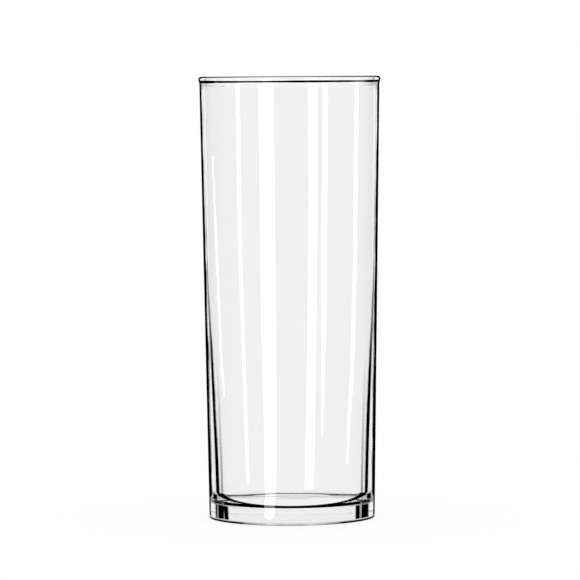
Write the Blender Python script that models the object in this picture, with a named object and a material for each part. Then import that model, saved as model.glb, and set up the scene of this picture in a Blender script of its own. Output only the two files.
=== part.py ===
"""Zombie glass: a tall, nearly straight drinking glass, one piece of clear glass turned about Z."""

import math

import bpy

MM = 0.001

# Outside
HEIGHT = 161.9 * MM  # table to the top of the lip
RIM_DIAMETER = 66.7 * MM  # over the lip
FOOT_DIAMETER = 60.8 * MM  # the side wall carried straight down to the table
HEEL_RADIUS = 0.2 * MM  # crisp rounding of the outer bottom edge

# Lip: the fire-polished rim, a little thicker than the wall below it
LIP_THICKNESS = 2.1 * MM
LIP_OVERHANG = 0.35 * MM  # how far the lip stands out from the wall
LIP_RUNOUT = 1.2 * MM  # height over which the lip fades into the wall

# Wall and floor
WALL_AT_LIP = 1.2 * MM
WALL_AT_FLOOR = 2.6 * MM
SWELL_HEIGHT = 90.0 * MM  # height below which the wall thickens towards the floor
FLOOR_THICKNESS = 5.4 * MM  # table to the inside floor
FLOOR_FILLET = 4.0 * MM  # inside corner between the floor and the wall

# Underside
BEARING_WIDTH = 3.5 * MM  # flat ring that the glass stands on
HOLLOW_DEPTH = 0.8 * MM  # shallow hollow inside that ring

# How finely the round shapes are divided
AROUND_COUNT = 72
LIP_COUNT = 10
RUNOUT_COUNT = 3
WALL_COUNT = 16
FILLET_COUNT = 8
HEEL_COUNT = 4
HOLLOW_COUNT = 6
AXIS_GAP = 0.01 * MM  # points nearer to the axis than this become one

GLASS_COLOUR = (0.95, 0.97, 0.97, 1.0)
GLASS_IOR = 1.52

RIM_RADIUS = RIM_DIAMETER / 2
FOOT_RADIUS = FOOT_DIAMETER / 2
LIP_RADIUS = LIP_THICKNESS / 2
LIP_CENTRE = HEIGHT - LIP_RADIUS
LIP_INSET = LIP_THICKNESS - LIP_OVERHANG - WALL_AT_LIP
TAPER = (RIM_RADIUS - LIP_OVERHANG - FOOT_RADIUS) / LIP_CENTRE


def clear_scene():
    for thing in list(bpy.data.objects):
        bpy.data.objects.remove(thing)


def shares(steps):
    """Even shares from 0 to 1, with both ends."""
    return [step / steps for step in range(steps + 1)]


def arc(centre, radius, start, end, steps):
    """Points (r, z) round a centre, between two angles in radians."""
    angles = [start + (end - start) * share for share in shares(steps)]
    return [(centre[0] + radius * math.cos(a), centre[1] + radius * math.sin(a)) for a in angles]


def outer_radius(z):
    """Outer side of the wall, without the lip."""
    return FOOT_RADIUS + TAPER * z


def inner_radius(z):
    """Inner side of the wall, without the lip and the fillet."""
    swell = ease((SWELL_HEIGHT - z) / (SWELL_HEIGHT - FLOOR_THICKNESS))
    return outer_radius(z) - WALL_AT_LIP - (WALL_AT_FLOOR - WALL_AT_LIP) * swell


def ease(share):
    """Share that starts and ends softly, held between 0 and 1."""
    share = min(1.0, max(0.0, share))
    return share * share * (3 - 2 * share)


def fillet():
    """Inside corner, from the floor up to where it meets the wall's own lean."""
    top = FLOOR_THICKNESS + FLOOR_FILLET
    lean = math.atan((inner_radius(top + MM) - inner_radius(top)) / MM)
    meets_at = top - FLOOR_FILLET * math.sin(lean)
    centre = (inner_radius(meets_at) - FLOOR_FILLET * math.cos(lean), top)
    return arc(centre, FLOOR_FILLET, -math.pi / 2, -lean, FILLET_COUNT)


def inner_wall(start):
    """Inner side of the wall from the fillet up to the runout of the lip, both ends left out."""
    end = LIP_CENTRE - LIP_RUNOUT
    heights = [start + (end - start) * share for share in shares(WALL_COUNT)[1:-1]]
    return [(inner_radius(z), z) for z in heights]


def lip():
    """Inner runout, half circle and outer runout, from the inside over the top."""
    rise = [(share, LIP_CENTRE - LIP_RUNOUT * (1 - share)) for share in shares(RUNOUT_COUNT)[:-1]]
    inside = [(inner_radius(z) - LIP_INSET * ease(share), z) for share, z in rise]
    outside = [(outer_radius(z) + LIP_OVERHANG * ease(share), z) for share, z in reversed(rise)]
    return inside + arc((RIM_RADIUS - LIP_RADIUS, LIP_CENTRE), LIP_RADIUS, math.pi, 0.0, LIP_COUNT) + outside


def underside():
    """Heel, bearing ring and hollow, from the side wall to the axis."""
    lean = math.atan(TAPER)
    heel_r = outer_radius(HEEL_RADIUS) - HEEL_RADIUS / math.cos(lean)
    hollow_r = heel_r - BEARING_WIDTH
    inwards = [1 - share for share in shares(HOLLOW_COUNT)]
    hollow = [(hollow_r * share, HOLLOW_DEPTH * (1 - share * share)) for share in inwards]
    return arc((heel_r, HEEL_RADIUS), HEEL_RADIUS, -lean, -math.pi / 2, HEEL_COUNT) + hollow


def glass_profile():
    """Half section (r, z): from the middle of the inside floor, over the lip, to the middle of the underside."""
    corner = fillet()
    return [(0.0, FLOOR_THICKNESS)] + corner + inner_wall(corner[-1][1]) + lip() + underside()


def turned(name, profile, material):
    """One solid of revolution about Z."""
    mesh = bpy.data.meshes.new(name)
    points = [(r, 0.0, z) for r, z in profile]
    mesh.from_pydata(points, [(i, i + 1) for i in range(len(points) - 1)], [])
    solid = bpy.data.objects.new(name, mesh)
    bpy.context.scene.collection.objects.link(solid)
    screw = solid.modifiers.new("turn", "SCREW")
    screw.axis = "Z"
    screw.angle = 2 * math.pi
    screw.steps = AROUND_COUNT
    screw.render_steps = AROUND_COUNT
    screw.use_merge_vertices = True
    screw.merge_threshold = AXIS_GAP
    screw.use_smooth_shade = True
    mesh.materials.append(material)
    return solid


def clear_glass():
    material = bpy.data.materials.new("clear_glass")
    material.use_nodes = True
    shader = material.node_tree.nodes["Principled BSDF"]
    shader.inputs["Base Color"].default_value = GLASS_COLOUR
    shader.inputs["Roughness"].default_value = 0.02
    shader.inputs["Metallic"].default_value = 0.0
    shader.inputs["IOR"].default_value = GLASS_IOR
    shader.inputs["Transmission Weight"].default_value = 1.0
    return material


clear_scene()
turned("tumbler", glass_profile(), clear_glass())
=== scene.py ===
"""Looks of the zombie glass: one turned tumbler of clear glass in a white studio."""

import math

import bpy
from mathutils import Matrix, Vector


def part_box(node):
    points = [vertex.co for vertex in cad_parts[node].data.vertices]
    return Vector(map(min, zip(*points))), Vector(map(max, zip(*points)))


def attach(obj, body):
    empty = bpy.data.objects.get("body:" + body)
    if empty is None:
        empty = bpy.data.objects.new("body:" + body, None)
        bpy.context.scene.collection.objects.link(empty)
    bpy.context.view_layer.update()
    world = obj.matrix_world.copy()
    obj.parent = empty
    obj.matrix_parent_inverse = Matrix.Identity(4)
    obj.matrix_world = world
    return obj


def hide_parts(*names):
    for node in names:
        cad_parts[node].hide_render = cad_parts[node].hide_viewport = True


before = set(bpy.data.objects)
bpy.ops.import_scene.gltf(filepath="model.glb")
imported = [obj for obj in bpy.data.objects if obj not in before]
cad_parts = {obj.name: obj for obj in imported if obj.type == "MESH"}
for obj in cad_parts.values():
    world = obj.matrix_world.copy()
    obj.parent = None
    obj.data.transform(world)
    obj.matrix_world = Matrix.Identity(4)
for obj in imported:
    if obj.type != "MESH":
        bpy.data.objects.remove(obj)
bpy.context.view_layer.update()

MM = 0.001

# Sizes that the frame gives
box_low, box_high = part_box("tumbler")
HEIGHT = box_high[2] - box_low[2]
RIM_RADIUS = (box_high[0] - box_low[0]) / 2

# Outside of the section
FOOT_RADIUS = 30.4 * MM  # the side wall carried straight down to the table
HEEL_RADIUS = 0.2 * MM  # rounding of the outer bottom edge

# Lip: a bead that stands proud of the wall on both sides
LIP_THICKNESS = 2.1 * MM
LIP_OVERHANG = 0.35 * MM  # how far the bead stands out from the wall
LIP_RUNOUT = 1.7 * MM  # height over which the bead fades into the wall

# Wall, floor and underside
WALL_AT_LIP = 1.2 * MM
WALL_AT_FLOOR = 2.6 * MM
SWELL_HEIGHT = 90.0 * MM  # height below which the wall thickens towards the floor
FLOOR_THICKNESS = 5.4 * MM  # table to the inside floor
FILLET_WIDTH = 3.4 * MM  # inside corner between the floor and the wall
FILLET_RISE = 5.0 * MM
BEARING_WIDTH = 3.5 * MM  # flat ring that the glass stands on
HOLLOW_DEPTH = 0.8 * MM  # shallow hollow inside that ring

LIP_RADIUS = LIP_THICKNESS / 2
LIP_CENTRE = HEIGHT - LIP_RADIUS
LIP_INSET = LIP_THICKNESS - LIP_OVERHANG - WALL_AT_LIP
TAPER = (RIM_RADIUS - LIP_OVERHANG - FOOT_RADIUS) / LIP_CENTRE

# How finely the round shapes are divided
AROUND_COUNT = 256
FLOOR_COUNT = 8
FILLET_COUNT = 24
WALL_COUNT = 48
RUNOUT_COUNT = 10
LIP_COUNT = 28
HEEL_COUNT = 12
HOLLOW_COUNT = 16
SCREEN_COUNT = 24
AXIS_GAP = 0.0001 * MM  # a ring narrower than this is one point on the axis

# Clear glass
GLASS_IOR = 1.52
GLASS_SPECULAR = 0.5  # the shader's plain level
FLOOR_TINT = 0.98  # a tint is the grey that a surface gives to light on its way through
CLEAR_TINT = 1.0
# The outside's grey below is painted shade, for the dark surroundings that clear glass mirrors
OUTSIDE_PAINTED_GREY = 0.916

# Painted dark lines (painted shade on the glass), set by the share of light that the glass mirrors: 0.043
# straight on, more towards the sides.
# A ramp is written as value from, value to and, where it isn't 0 to 1, result from, result to.
# A band is written as the values where it starts to rise, has risen, starts to fall and has fallen.
FULL_MIRROR = 0.999  # mirror share of a surface that lets nothing through
EDGE_SOFTNESS = 0.03  # how much further the mirror share has to rise until a line is black

# Painted dark lines along the inside of the wall: limit of the mirror share by height, and what is added to
# it higher up
INSIDE_LIMIT_LOW = (0.0, 60.0 * MM, 0.19, 0.25)
INSIDE_LIMIT_HIGH = (60.0 * MM, 130.0 * MM, 0.0, 0.38)
SECOND_BAND = (0.120, 0.132, 0.160, 0.172)  # mirror shares of the second, fainter line
SECOND_HEIGHT = (62.0 * MM, 10.0 * MM)
SECOND_DARKNESS = 0.65

# Painted dark lines along the outside: limit of the mirror share from table to lip, and what the thick base
# adds to it
OUTSIDE_LIMIT = (0.0, HEIGHT, 0.215, 0.30)
OUTSIDE_LIMIT_BASE = (9.0 * MM, 8.0 * MM, 0.0, 0.11)
# BASE_SHADE below is painted shade: a faint grey laid on the thick base
BASE_SHADE = (6.0 * MM, 5.4 * MM, 0.0, 0.026)  # faint grey of the thick base, by height

# Lip: limits of the mirror share at its side and on its top, and the painted dark line under its bead
# (painted shade)
LIP_TOP_FACING = (0.45, 0.65)  # upward part of the normal, from the side of the bead to its top
LIP_LIMIT = (0.33, 0.040)
LIP_UNDER_FACING = (-0.24, -0.285)  # the same below the bead, where the line starts and where it is black
LIP_UNDER_SIDES = (0.045, 0.10, 0.0, 0.05)  # how the line widens with the mirror share

# Inner corner: the thick painted dark line seen through the wall, and the thin one along the floor's edge
CORNER_LIMIT = 0.09
CORNER_FILL = (6.05 * MM, 6.15 * MM, 7.2 * MM, 7.4 * MM)  # heights that are black where all is mirrored
FLOOR_LIMIT = 0.075
FLOOR_LINE = (6.6 * MM, 6.1 * MM)
CORNER_DEPTH = 2.5  # rays that have met the glass more often don't see these lines

# Painted black blocks (painted shade) at both sides of the thick base, with a painted dash and patch above
# each
BLOCK_BAND = (0.0600, 0.0625, 0.140, 0.165)
BLOCK_HEIGHT = (6.2 * MM, 5.95 * MM)
DASH_BAND = (0.075, 0.085, 0.190, 0.200)
DASH_HEIGHT = (6.35 * MM, 6.45 * MM, 6.95 * MM, 7.05 * MM)
PATCH_BAND = (0.115, 0.125, 0.200, 0.210)
PATCH_HEIGHT = (7.6 * MM, 7.8 * MM, 9.6 * MM, 9.9 * MM)
STREAK_SCALE = (480.0, 480.0, 40.0)  # upright streaks in the blocks
STREAK_DETAIL = 1.0
STREAKS = (0.53, 0.60, 1.0, 0.60)

# Painted dark line along the foot (painted shade): its height, and how it fades towards the middle of the
# glass
FOOT_LINE = (1.1 * MM, 0.6 * MM)
FOOT_FADE = (0.0425, 0.0475, 0.45, 1.0)

# Unevenness of the painted dark lines, and the ripple of the surface
WAVER = 0.15
WAVER_NOISE = (0.25, 0.75)
WAVER_SCALE = (70.0, 70.0, 70.0)
WAVER_DETAIL = 2.0
RIPPLE_HEIGHT = 0.02 * MM
RIPPLE_SCALE = (60.0, 60.0, 16.0)
RIPPLE_DETAIL = 1.0

# Studio: azimuths in degrees round the glass, 0 straight behind it and + to the photograph's right
STRIP_STRENGTH = 5.0
STRIP_RADIUS = 0.6
# Each strip lamp's edges as height, azimuth from and azimuth to, from its foot up
STRIPS = {
    "strip_front": (
        (-0.0810, -153.0, -148.5),
        (-0.0790, -156.5, -142.2),
        (-0.0715, -156.5, -142.2),
        (-0.0695, -158.5, -143.0),
        (-0.037, -160.2, -143.0),
        (0.02, -160.8, -141.0),
        (0.40, -159.3, -141.0),
    ),
    "strip_back": (
        (-0.066, 150.4, 163.0),
        (0.0, 147.6, 159.3),
        (0.08, 144.8, 156.6),
        (0.40, 143.8, 160.0),
    ),
    "strip_narrow": (
        (-0.039, 138.4, 139.7),
        (-0.030, 137.0, 140.2),
        (0.03, 132.6, 140.4),
        (0.40, 127.3, 132.3),
    ),
    "strip_right": (
        (-0.0500, 98.8, 100.6),
        (-0.0460, 96.6, 101.0),
        (-0.030, 94.8, 100.4),
        (0.0, 88.2, 95.0),
        (0.05, 84.3, 91.4),
        (0.40, 78.0, 86.8),
    ),
    "strip_left": (
        (-0.061, -121.0, -116.0),
        (0.06, -114.8, -109.0),
        (0.40, -118.0, -108.0),
    ),
    "strip_thin": (
        (-0.0135, -80.0, -78.0),
        (-0.008, -79.5, -75.2),
        (0.001, -76.7, -71.3),
        (0.053, -71.4, -66.3),
        (0.112, -64.5, -61.9),
    ),
}
# Lower stretch of each strip, which only shows from higher up: how much lower its foot is, and its top
LOW_DROP = 0.19
LOW_TOP = -0.10
# Cosines of the azimuths where the white backdrop that the glass mirrors begins to fade and has ended
BACKDROP_EDGE = (0.78, 0.71)
MIRROR_DEPTH = 2.5  # a ray with less depth than this was mirrored on the outside of the glass
# Ring on the table under the foot, which the base shows
SHADE_RADII = (24.7 * MM, 30.2 * MM)
SHADE_LEVEL = -0.1 * MM
SHADE_DEPTH = 3.5  # black to rays of less depth than this, and white to the others
FLOOR_REACH = 14.0
FLOOR_LEVEL = -0.2 * MM
FLOOR_GLOW = 0.86  # share of the floor that glows white to the camera; the rest shows the shadow
BOUNCES = 120

# Camera, from the photograph's 580 x 580 frame
IMAGE_SIDE = 580
FOCAL_PX = 3901
AXIS_PX = 0.7  # how far the axis of the glass lies right of the middle
CAMERA_DISTANCE = 1.4303
CAMERA_HEIGHT = 0.1619
CAMERA_PITCH = math.radians(3.137)
CAMERA_ROLL = math.radians(-0.37)
CAMERA_REACH = 100.0
SENSOR_MM = 36.0


# Section of the glass, as points of radius and height

def shares(steps):
    """Even shares from 0 to 1, with both ends."""
    return [step / steps for step in range(steps + 1)]


def ease(share):
    """Share that starts and ends softly, held between 0 and 1."""
    share = min(1.0, max(0.0, share))
    return share * share * (3 - 2 * share)


def arc(centre, radius, start, end, steps):
    """Points round a centre, between two angles in radians."""
    angles = [start + (end - start) * share for share in shares(steps)]
    return [(centre[0] + radius * math.cos(a), centre[1] + radius * math.sin(a)) for a in angles]


def outer_radius(z):
    """Outer side of the wall, without the lip."""
    return FOOT_RADIUS + TAPER * z


def inner_radius(z):
    """Inner side of the wall, without the lip and the corner."""
    swell = ease((SWELL_HEIGHT - z) / (SWELL_HEIGHT - FLOOR_THICKNESS))
    return outer_radius(z) - WALL_AT_LIP - (WALL_AT_FLOOR - WALL_AT_LIP) * swell


def floor_inside(end):
    """Inside floor from the axis out to a radius, that end left out."""
    return [(end * share, FLOOR_THICKNESS) for share in shares(FLOOR_COUNT)[:-1]]


def fillet():
    """Inside corner, a little taller than wide, from the floor up to where it meets the wall's own lean."""
    top = FLOOR_THICKNESS + FILLET_RISE
    slope = (inner_radius(top + MM) - inner_radius(top)) / MM
    end = math.atan(slope * FILLET_RISE / FILLET_WIDTH)
    centre = inner_radius(top - FILLET_RISE * math.sin(end)) - FILLET_WIDTH * math.cos(end)
    quarter = arc((0.0, 0.0), 1.0, -math.pi / 2, -end, FILLET_COUNT)
    return [(centre + FILLET_WIDTH * across, top + FILLET_RISE * up) for across, up in quarter]


def inner_wall(start):
    """Inner side of the wall from the corner up to the lip's runout, both ends left out."""
    end = LIP_CENTRE - LIP_RUNOUT
    heights = [start + (end - start) * share for share in shares(WALL_COUNT)[1:-1]]
    return [(inner_radius(z), z) for z in heights]


def runout():
    """Share of the lip's bead at each height below it, from the wall up."""
    return [(share, LIP_CENTRE - LIP_RUNOUT * (1 - share)) for share in shares(RUNOUT_COUNT)[:-1]]


def lip_inside():
    """Runout on the inside, from the wall up to the bead."""
    return [(inner_radius(z) - LIP_INSET * ease(share), z) for share, z in runout()]


def lip_outside():
    """Bead from the inside over the top, and the runout below it on the outside."""
    bead = arc((RIM_RADIUS - LIP_RADIUS, LIP_CENTRE), LIP_RADIUS, math.pi, 0.0, LIP_COUNT)
    below = [(outer_radius(z) + LIP_OVERHANG * ease(share), z) for share, z in reversed(runout()[1:])]
    return bead + below


def outer_wall(end):
    """Outer side of the wall from the lip's runout down to a height, that end left out."""
    start = LIP_CENTRE - LIP_RUNOUT
    heights = [start + (end - start) * share for share in shares(WALL_COUNT)[:-1]]
    return [(outer_radius(z), z) for z in heights]


def heel():
    """Rounded outer bottom edge."""
    lean = math.atan(TAPER)
    centre = outer_radius(HEEL_RADIUS) - HEEL_RADIUS / math.cos(lean)
    return arc((centre, HEEL_RADIUS), HEEL_RADIUS, -lean, -math.pi / 2, HEEL_COUNT)


def hollow(heel_end):
    """Underside from the inner edge of the bearing ring to the axis."""
    rim = heel_end - BEARING_WIDTH
    inwards = [1 - share for share in shares(HOLLOW_COUNT)]
    return [(rim * share, HOLLOW_DEPTH * (1 - share * share)) for share in inwards]


def glass_profile():
    """Radius, height and finish of each ring, from the inner floor over the lip to the underside."""
    corner = fillet()
    bend = heel()
    foot_top = FOOT_LINE[0]
    sections = (
        (floor_inside(corner[0][0]), "floor"),
        (corner[:-1], "corner"),
        (corner[-1:] + inner_wall(corner[-1][1]), "inside"),
        (lip_inside(), "inside"),
        (lip_outside(), "lip"),
        (outer_wall(foot_top), "outside"),
        ([(outer_radius(foot_top), foot_top)] + bend, "heel"),
        (hollow(bend[-1][0]), "floor"),
    )
    return [(r, z, finish) for points, finish in sections for r, z in points]


def turned(name, profile, finish_names):
    """Mesh turned about Z. A ring's finish covers the faces between it and the next ring."""
    verts = []
    rings = []
    for r, z, _ in profile:
        count = AROUND_COUNT if r > AXIS_GAP else 1
        rings.append([len(verts) + step for step in range(count)])
        angles = [2 * math.pi * step / AROUND_COUNT for step in range(count)]
        verts += [(r * math.cos(a), r * math.sin(a), z) for a in angles]
    faces = []
    finishes = []
    for ring, after, (_, _, finish) in zip(rings, rings[1:], profile):
        for step in range(AROUND_COUNT):
            following = (step + 1) % AROUND_COUNT
            corners = (
                ring[step % len(ring)],
                after[step % len(after)],
                after[following % len(after)],
                ring[following % len(ring)],
            )
            # On the axis two corners are the same point, which is kept once
            faces.append(tuple(dict.fromkeys(corners)))
            finishes.append(finish_names.index(finish))
    mesh = bpy.data.meshes.new(name)
    mesh.from_pydata(verts, [], faces)
    mesh.polygons.foreach_set("material_index", finishes)
    mesh.shade_smooth()
    mesh.update()
    solid = bpy.data.objects.new(name, mesh)
    bpy.context.scene.collection.objects.link(solid)
    return solid


# Values in a node tree

def maths(tree, operation, *inputs):
    """Result of a new Math node that works on sockets and plain numbers."""
    node = tree.nodes.new("ShaderNodeMath")
    node.operation = operation
    for value, socket in zip(inputs, node.inputs):
        if isinstance(value, (int, float)):
            socket.default_value = value
        else:
            tree.links.new(value, socket)
    return node.outputs["Value"]


def times(tree, first, *others):
    """Product of values."""
    for value in others:
        first = maths(tree, "MULTIPLY", first, value)
    return first


def most(tree, first, *others):
    """Largest of values."""
    for value in others:
        first = maths(tree, "MAXIMUM", first, value)
    return first


def opposite(tree, value):
    """1 for 0, and 0 for 1."""
    return maths(tree, "SUBTRACT", 1.0, value)


def ramp(tree, value, start, end, first=0.0, last=1.0):
    """Runs from first to last while the value runs from start to end, and stays there beyond."""
    node = tree.nodes.new("ShaderNodeMapRange")
    node.inputs["From Min"].default_value = start
    node.inputs["From Max"].default_value = end
    node.inputs["To Min"].default_value = first
    node.inputs["To Max"].default_value = last
    tree.links.new(value, node.inputs["Value"])
    return node.outputs["Result"]


def band(tree, value, rise_from, rise_to, fall_from, fall_to):
    """1 between the rise and the fall."""
    return times(tree, ramp(tree, value, rise_from, rise_to), ramp(tree, value, fall_to, fall_from))


def coordinates(tree, kind):
    """Texture coordinates of one kind."""
    return tree.nodes.new("ShaderNodeTexCoord").outputs[kind]


def part_of(tree, vector, axis):
    """One part of a vector."""
    parts = tree.nodes.new("ShaderNodeSeparateXYZ")
    tree.links.new(vector, parts.inputs["Vector"])
    return parts.outputs[axis]


def height(tree):
    """Height above the table."""
    return part_of(tree, coordinates(tree, "Object"), "Z")


def mirror_share(tree):
    """Share of the light that the glass mirrors at the angle it is seen at."""
    fresnel = tree.nodes.new("ShaderNodeFresnel")
    fresnel.inputs["IOR"].default_value = GLASS_IOR
    return fresnel.outputs["Fac"]


def back_side(tree):
    """1 where the surface is met from inside the glass."""
    return tree.nodes.new("ShaderNodeNewGeometry").outputs["Backfacing"]


def front_side(tree):
    """1 where the surface is met from the air."""
    return opposite(tree, back_side(tree))


def early(tree, depth):
    """1 for a ray of less than the depth, which counts how often it has met a surface."""
    path = tree.nodes.new("ShaderNodeLightPath")
    return maths(tree, "LESS_THAN", path.outputs["Ray Depth"], depth)


def noise(tree, scale, detail):
    """Noise on the object, with its own scale along each axis."""
    stretch = tree.nodes.new("ShaderNodeMapping")
    stretch.inputs["Scale"].default_value = scale
    tree.links.new(coordinates(tree, "Object"), stretch.inputs["Vector"])
    node = tree.nodes.new("ShaderNodeTexNoise")
    node.inputs["Scale"].default_value = 1.0
    node.inputs["Detail"].default_value = detail
    tree.links.new(stretch.outputs["Vector"], node.inputs["Vector"])
    return node.outputs["Fac"]


def past(tree, limit):
    """1 where the glass mirrors more than the limit, 0 where it mirrors less or all."""
    mirror = mirror_share(tree)
    dark = ramp(tree, maths(tree, "SUBTRACT", mirror, limit), 0.0, EDGE_SOFTNESS)
    return times(tree, dark, maths(tree, "LESS_THAN", mirror, FULL_MIRROR))


def waver(tree):
    """Factor that makes the painted dark lines thicker and thinner along the glass."""
    return ramp(tree, noise(tree, WAVER_SCALE, WAVER_DETAIL), *WAVER_NOISE, 1 - WAVER, 1 + WAVER)


# Painted dark lines (painted shade) of each finish, 1 where the glass is black and 0 where it is clear

def corner_painted_shade(tree):
    """Painted shade: the thick dark line round the inner corner, seen through the wall, and the thin one at
    the floor's edge.
    """
    z = height(tree)
    whole = maths(tree, "GREATER_THAN", mirror_share(tree), FULL_MIRROR)
    fill = times(tree, whole, band(tree, z, *CORNER_FILL))
    thick = times(tree, most(tree, past(tree, CORNER_LIMIT), fill), back_side(tree))
    thin = times(tree, past(tree, FLOOR_LIMIT), ramp(tree, z, *FLOOR_LINE), front_side(tree))
    return times(tree, most(tree, thick, thin), early(tree, CORNER_DEPTH))


def inside_painted_shade(tree):
    """Painted shade: the dark line round the inside of the wall and, low down, a second fainter one."""
    z = height(tree)
    limit = maths(tree, "ADD", ramp(tree, z, *INSIDE_LIMIT_LOW), ramp(tree, z, *INSIDE_LIMIT_HIGH))
    line = past(tree, times(tree, limit, waver(tree)))
    second = times(tree, band(tree, mirror_share(tree), *SECOND_BAND), ramp(tree, z, *SECOND_HEIGHT))
    return most(tree, line, times(tree, second, SECOND_DARKNESS, back_side(tree)))


def block_painted_shade(tree):
    """Painted shade: the streaked black blocks at both sides of the thick base, and a dash and a patch above
    each.
    """
    z = height(tree)
    mirror = mirror_share(tree)
    streaks = ramp(tree, noise(tree, STREAK_SCALE, STREAK_DETAIL), *STREAKS)
    block = times(tree, band(tree, mirror, *BLOCK_BAND), ramp(tree, z, *BLOCK_HEIGHT), streaks)
    patch = times(tree, band(tree, mirror, *PATCH_BAND), band(tree, z, *PATCH_HEIGHT))
    dash = times(tree, band(tree, mirror, *DASH_BAND), band(tree, z, *DASH_HEIGHT))
    return times(tree, most(tree, block, patch, dash), front_side(tree))


def outside_painted_shade(tree):
    """Painted shade: the dark line round the outside of the wall, and the blocks and the faint grey of the
    base.
    """
    z = height(tree)
    limit = maths(tree, "ADD", ramp(tree, z, *OUTSIDE_LIMIT), ramp(tree, z, *OUTSIDE_LIMIT_BASE))
    edge = past(tree, times(tree, limit, waver(tree)))
    return most(tree, edge, block_painted_shade(tree), ramp(tree, z, *BASE_SHADE))


def lip_painted_shade(tree):
    """Painted shade: the dark line over the top of the lip and the uneven line under its bead, thicker
    towards the sides.
    """
    facing_up = part_of(tree, coordinates(tree, "Normal"), "Z")
    top = past(tree, ramp(tree, facing_up, *LIP_TOP_FACING, *LIP_LIMIT))
    widened = maths(tree, "SUBTRACT", facing_up, ramp(tree, mirror_share(tree), *LIP_UNDER_SIDES))
    under = ramp(tree, times(tree, widened, waver(tree)), *LIP_UNDER_FACING)
    return most(tree, top, times(tree, under, front_side(tree)))


def heel_painted_shade(tree):
    """Painted shade: the dark line along the foot, fainter in the middle."""
    line = ramp(tree, height(tree), *FOOT_LINE)
    return times(tree, line, ramp(tree, mirror_share(tree), *FOOT_FADE), front_side(tree))


# Tint and painted dark lines of each finish, in the order of the material slots
FINISHES = {
    "floor": (FLOOR_TINT, None),
    "corner": (CLEAR_TINT, corner_painted_shade),
    "inside": (CLEAR_TINT, inside_painted_shade),
    "outside": (OUTSIDE_PAINTED_GREY, outside_painted_shade),
    "lip": (CLEAR_TINT, lip_painted_shade),
    "heel": (OUTSIDE_PAINTED_GREY, heel_painted_shade),
}


def ripple(tree):
    """Faint long waves of pressed glass, which make the mirrored lamps waver."""
    bump = tree.nodes.new("ShaderNodeBump")
    bump.inputs["Strength"].default_value = 1.0
    bump.inputs["Distance"].default_value = RIPPLE_HEIGHT
    tree.links.new(noise(tree, RIPPLE_SCALE, RIPPLE_DETAIL), bump.inputs["Height"])
    return bump.outputs["Normal"]


def glass_material(name, tint, painted_shade_of):
    """Clear glass that turns black, with no gloss, where its painted shade is 1."""
    material = bpy.data.materials.new(name)
    material.use_nodes = True
    tree = material.node_tree
    shader = tree.nodes["Principled BSDF"]
    shader.inputs["Base Color"].default_value = (tint, tint, tint, 1.0)
    shader.inputs["Roughness"].default_value = 0.0
    shader.inputs["IOR"].default_value = GLASS_IOR
    shader.inputs["Transmission Weight"].default_value = 1.0
    tree.links.new(ripple(tree), shader.inputs["Normal"])
    if painted_shade_of:
        clear = opposite(tree, painted_shade_of(tree))
        tree.links.new(times(tree, clear, tint), shader.inputs["Base Color"])
        tree.links.new(clear, shader.inputs["Transmission Weight"])
        tree.links.new(times(tree, clear, GLASS_SPECULAR), shader.inputs["Specular IOR Level"])
    return material


def turned_glass():
    """The whole glass with its finishes."""
    solid = turned("glass", glass_profile(), list(FINISHES))
    for finish, (tint, painted_shade_of) in FINISHES.items():
        solid.data.materials.append(glass_material("clear_glass_" + finish, tint, painted_shade_of))
    return solid


# Studio

def emitter(name, strength):
    """Plain white light."""
    material = bpy.data.materials.new(name)
    material.use_nodes = True
    nodes = material.node_tree.nodes
    nodes.clear()
    out = nodes.new("ShaderNodeOutputMaterial")
    emit = nodes.new("ShaderNodeEmission")
    emit.inputs["Strength"].default_value = strength
    material.node_tree.links.new(emit.outputs["Emission"], out.inputs["Surface"])
    return material


def screen(name, levels, material, mirrored):
    """Sheet round the glass that only the glass sees, in its mirrored light or else through it.

    Each level gives the sheet's radius, height and the two azimuths that it runs between."""
    verts = []
    for radius, z, start, end in levels:
        angles = [math.radians(start + (end - start) * share) for share in shares(SCREEN_COUNT)]
        verts += [(radius * math.sin(a), radius * math.cos(a), z) for a in angles]
    row = SCREEN_COUNT + 1
    corners = [row * level + step for level in range(len(levels) - 1) for step in range(SCREEN_COUNT)]
    faces = [(corner, corner + 1, corner + row + 1, corner + row) for corner in corners]
    mesh = bpy.data.meshes.new(name)
    mesh.from_pydata(verts, [], faces)
    mesh.materials.append(material)
    obj = bpy.data.objects.new(name, mesh)
    bpy.context.scene.collection.objects.link(obj)
    obj.visible_camera = False
    obj.visible_diffuse = False
    obj.visible_shadow = False
    obj.visible_glossy = mirrored
    obj.visible_transmission = not mirrored


def strip_lamps():
    """Tall lamps that make the upright highlights, each with a lower stretch for views from above."""
    lamp = emitter("strip", STRIP_STRENGTH)
    for name, edges in STRIPS.items():
        screen(name, [(STRIP_RADIUS, *edge) for edge in edges], lamp, True)
        lower = [(z - LOW_DROP, start, end) for z, start, end in edges[:2]]
        lower.append((LOW_TOP, *lower[-1][1:]))
        screen(name + "_low", [(STRIP_RADIUS, *edge) for edge in lower], lamp, True)


def foot_shade():
    """Ring on the table that is black to the first rays through the base and white to the others."""
    shade = emitter("foot_shade", 1.0)
    tree = shade.node_tree
    late = opposite(tree, early(tree, SHADE_DEPTH))
    tree.links.new(late, tree.nodes["Emission"].inputs["Strength"])
    screen("foot_shade", [(radius, SHADE_LEVEL, 0.0, 360.0) for radius in SHADE_RADII], shade, False)


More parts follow.
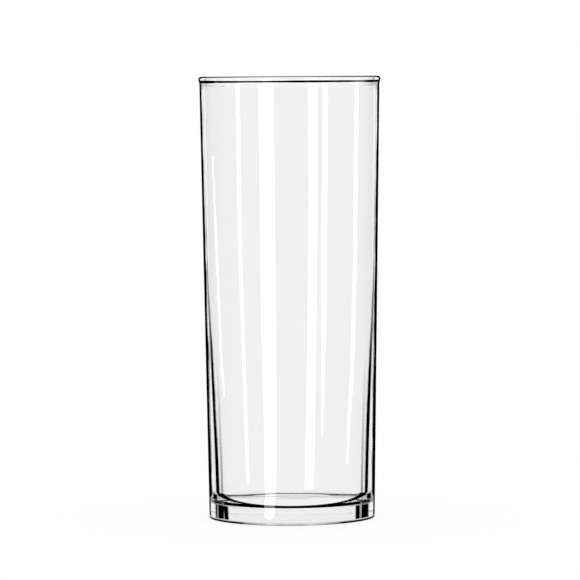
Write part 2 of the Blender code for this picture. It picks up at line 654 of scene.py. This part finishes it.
def floor_material():
    """White floor with a faint shadow, and plain white where the glass shows it."""
    material = bpy.data.materials.new("floor")
    material.use_nodes = True
    tree = material.node_tree
    shader = tree.nodes["Principled BSDF"]
    shader.inputs["Base Color"].default_value = (1.0, 1.0, 1.0, 1.0)
    shader.inputs["Roughness"].default_value = 1.0
    shader.inputs["Specular IOR Level"].default_value = 0.0
    glow = tree.nodes.new("ShaderNodeEmission")
    path = tree.nodes.new("ShaderNodeLightPath")
    direct = times(tree, path.outputs["Is Camera Ray"], FLOOR_GLOW)
    share = maths(tree, "ADD", direct, path.outputs["Is Transmission Ray"])
    mix = tree.nodes.new("ShaderNodeMixShader")
    share_in, shader_in, glow_in = mix.inputs
    tree.links.new(share, share_in)
    tree.links.new(shader.outputs["BSDF"], shader_in)
    tree.links.new(glow.outputs["Emission"], glow_in)
    tree.links.new(mix.outputs["Shader"], tree.nodes["Material Output"].inputs["Surface"])
    return material


def floor():
    """Wide level floor, just below the foot."""
    near, far = -FLOOR_REACH, FLOOR_REACH
    mesh = bpy.data.meshes.new("floor")
    mesh.from_pydata([(near, near, 0), (far, near, 0), (far, far, 0), (near, far, 0)], [], [(0, 1, 2, 3)])
    mesh.materials.append(floor_material())
    obj = bpy.data.objects.new("floor", mesh)
    bpy.context.scene.collection.objects.link(obj)
    obj.location.z = FLOOR_LEVEL
    obj.visible_glossy = False


def mirror_switch(tree):
    """1 for a ray that the outside of the glass has just mirrored, 0 for every other."""
    path = tree.nodes.new("ShaderNodeLightPath")
    glossy = path.outputs["Is Glossy Ray"]
    through = path.outputs["Is Transmission Ray"]
    return times(tree, early(tree, MIRROR_DEPTH), maths(tree, "GREATER_THAN", glossy, through))


def white_world():
    """White all round, but for the outside of the glass, which mirrors white only from behind."""
    world = bpy.data.worlds.new("studio")
    bpy.context.scene.world = world
    world.use_nodes = True
    tree = world.node_tree
    back = tree.nodes["Background"]
    back.inputs["Color"].default_value = (1.0, 1.0, 1.0, 1.0)
    behind = part_of(tree, coordinates(tree, "Generated"), "Y")
    dark = times(tree, mirror_switch(tree), ramp(tree, behind, *BACKDROP_EDGE))
    tree.links.new(opposite(tree, dark), back.inputs["Strength"])


def camera():
    """Camera at the photograph's place."""
    data = bpy.data.cameras.new("photo_camera")
    data.sensor_width = SENSOR_MM
    data.lens = FOCAL_PX * SENSOR_MM / IMAGE_SIDE
    data.clip_end = CAMERA_REACH
    obj = bpy.data.objects.new("photo_camera", data)
    bpy.context.scene.collection.objects.link(obj)
    offset = -AXIS_PX / FOCAL_PX * CAMERA_DISTANCE
    obj.matrix_world = (
        Matrix.Translation((offset, -CAMERA_DISTANCE, CAMERA_HEIGHT))
        @ Matrix.Rotation(math.pi / 2 - CAMERA_PITCH, 4, "X")
        @ Matrix.Rotation(CAMERA_ROLL, 4, "Z")
    )
    bpy.context.scene.camera = obj


glass = turned_glass()
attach(glass, "root")
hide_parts("tumbler")
floor()
white_world()
strip_lamps()
foot_shade()
camera()
scene = bpy.context.scene
scene.view_settings.view_transform = "Standard"
scene.cycles.max_bounces = BOUNCES
scene.cycles.transmission_bounces = BOUNCES
scene.cycles.glossy_bounces = BOUNCES
